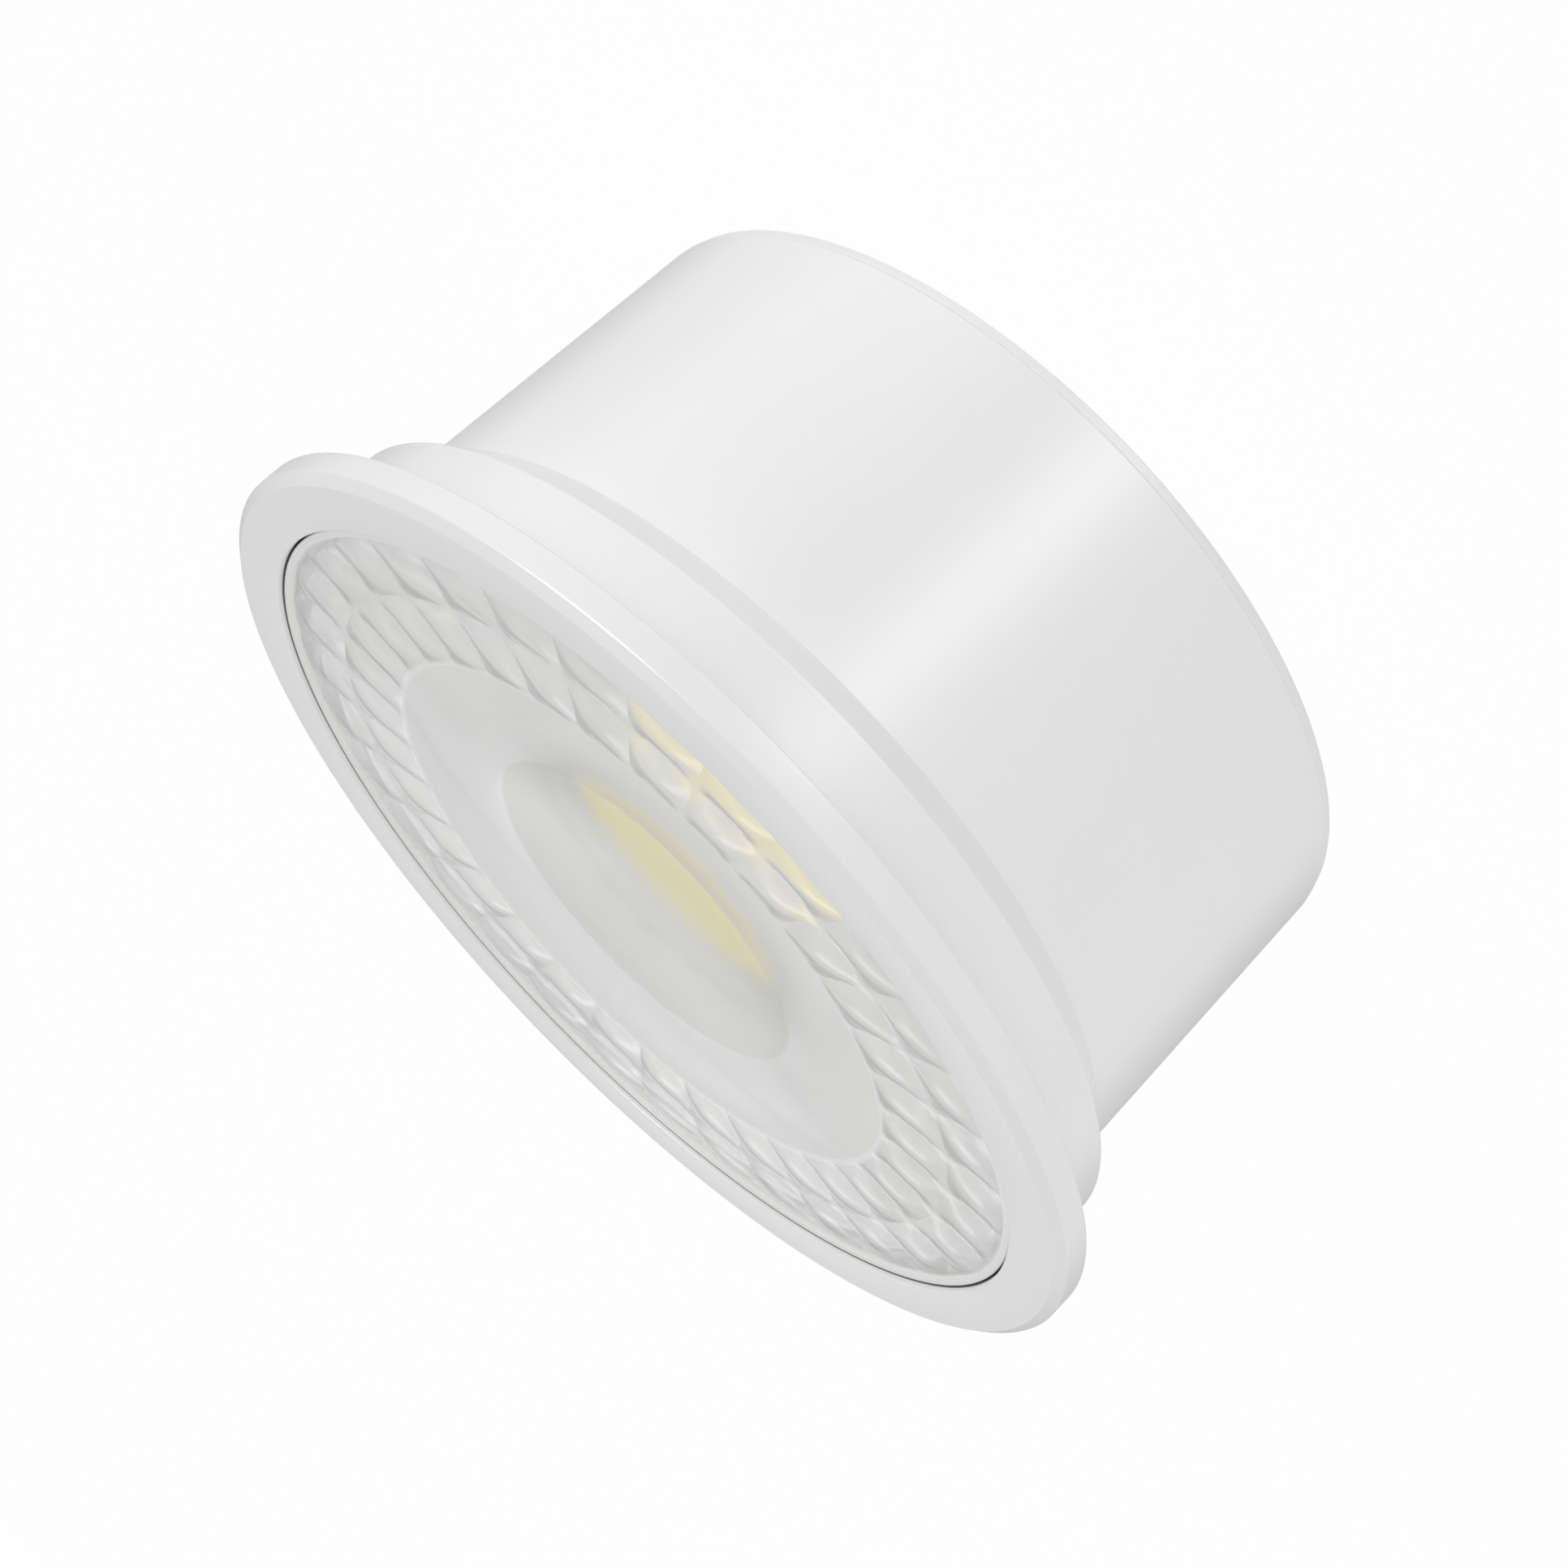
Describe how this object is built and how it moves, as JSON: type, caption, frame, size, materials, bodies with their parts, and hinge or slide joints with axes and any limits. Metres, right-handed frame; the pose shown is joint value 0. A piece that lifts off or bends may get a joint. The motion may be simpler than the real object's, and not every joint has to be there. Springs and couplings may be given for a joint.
{
  "type": "led spotlight module",
  "caption": "Flat round LED spotlight module with a white flanged housing, a faceted clear lens over a yellow emitter, a heat sink and a built-in driver.",
  "frame": {"origin": "centre of the flat rear face", "axes": "+Z along the optical axis, the way the light leaves; -Y towards the side the picture shows"},
  "size_m": [0.05, 0.05, 0.0233],
  "materials": {
    "white_housing": "satin white moulded thermoplastic",
    "white_cover": "satin white moulded thermoplastic",
    "clear_lens": "clear moulded lens plastic",
    "white_board": "white solder mask on an aluminium core",
    "white_silicone": "white silicone dam",
    "phosphor": "yellow phosphor in clear silicone",
    "white_nylon": "natural white nylon screw",
    "grey_pad": "grey filled silicone sheet",
    "bare_aluminium": "turned bare aluminium",
    "black_tray": "black moulded insulating plastic",
    "tinned_pin": "tin-plated brass wire pin",
    "green_board": "glass-fibre board with green mask",
    "grey_rubber": "light grey moulded rubber",
    "black_package": "black moulded epoxy package with tinned legs",
    "chip_resistor": "black-glazed ceramic chip",
    "chip_ceramic": "tan ceramic chip",
    "yellow_box": "yellow moulded capacitor box",
    "capacitor_can": "aluminium can in a dark sleeve",
    "ferrite": "dark sintered ferrite",
    "copper_winding": "enamelled copper wire",
    "blue_coating": "blue epoxy coating",
    "green_resistor": "green flameproof lacquer on a ceramic body"
  },
  "bodies": {
    "root": {"housing": "white_housing", "rear_cover": "white_cover", "lens": "clear_lens", "led_board": "white_board", "emitter_dam": "white_silicone", "emitter_phosphor": "phosphor", "led_board_screws": "white_nylon", "thermal_pad": "grey_pad", "heat_sink": "bare_aluminium", "driver_tray": "black_tray", "pin_sleeve": "black_tray", "link_pins": "tinned_pin", "driver_board": "green_board", "cable_bush": "grey_rubber", "bridge_rectifier": "black_package", "driver_chip": "black_package", "output_diode": "black_package", "sense_resistors": "chip_resistor", "chip_capacitors": "chip_ceramic", "film_capacitor": "yellow_box", "electrolytic_capacitor": "capacitor_can", "inductor_core": "ferrite", "inductor_winding": "copper_winding", "varistor": "blue_coating", "input_fuse": "green_resistor"}
  },
  "joints": []
}
